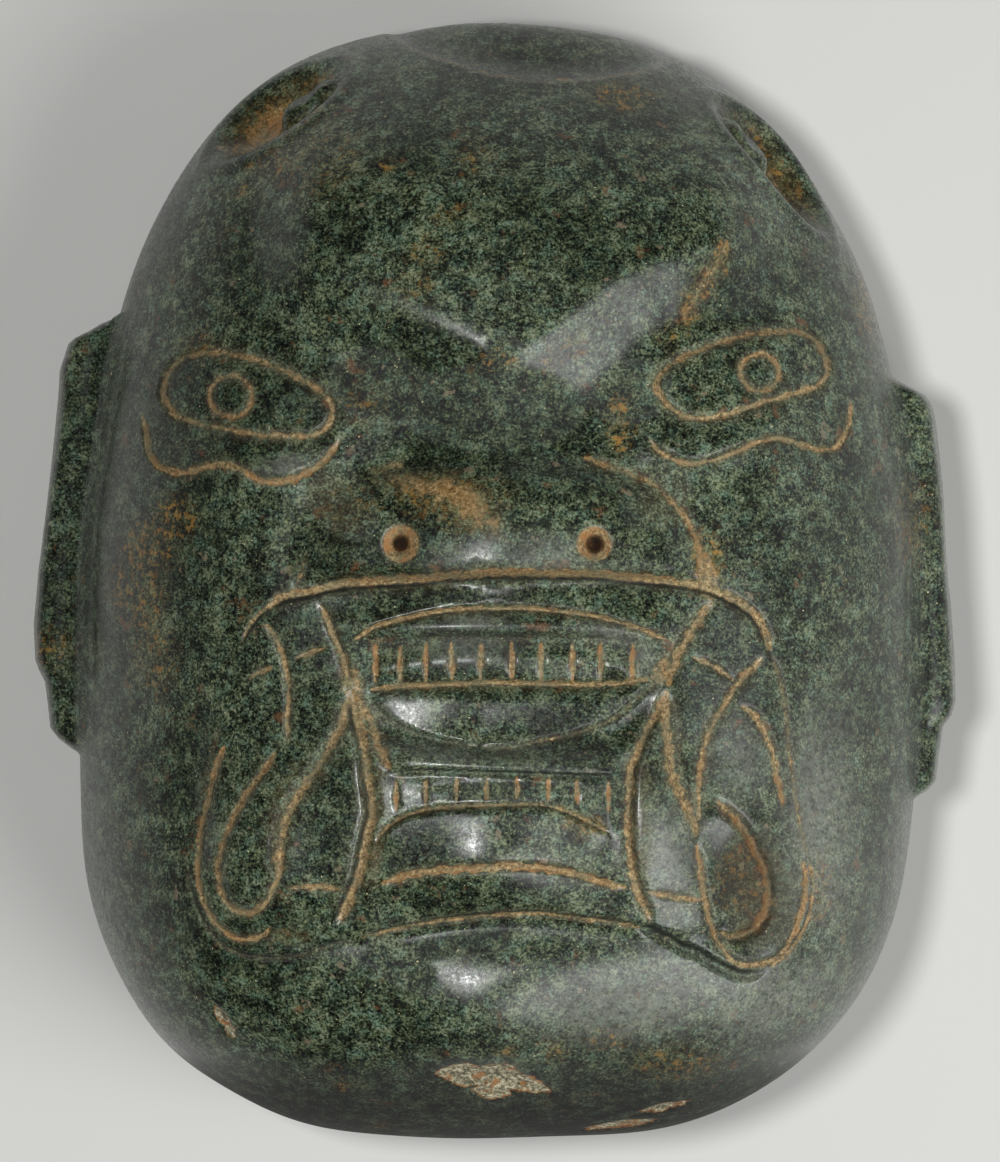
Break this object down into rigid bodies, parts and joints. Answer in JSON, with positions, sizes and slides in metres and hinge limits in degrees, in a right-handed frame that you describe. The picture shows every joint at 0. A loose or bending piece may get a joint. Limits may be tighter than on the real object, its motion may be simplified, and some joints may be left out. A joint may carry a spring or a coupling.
{
  "type": "carved stone mask",
  "caption": "Carved and polished dark green stone mask with a fanged feline face, side plates for ears, a cleft crown and a hollowed back",
  "frame": {"origin": "middle of the footprint of the whole mask, on the plane of the flat back rim that it lies on", "axes": "the face looks along +Z, the crown points along +Y, and +X is at the viewer's right when the face is looked at"},
  "size_m": [0.1656, 0.2, 0.099],
  "materials": {
    "greenstone": "carved and polished dark green stone with dark and pale grains, tan residue in the cut lines and orange-brown iron stains"
  },
  "bodies": {
    "root": {"stone_mask": "greenstone"}
  },
  "joints": []
}
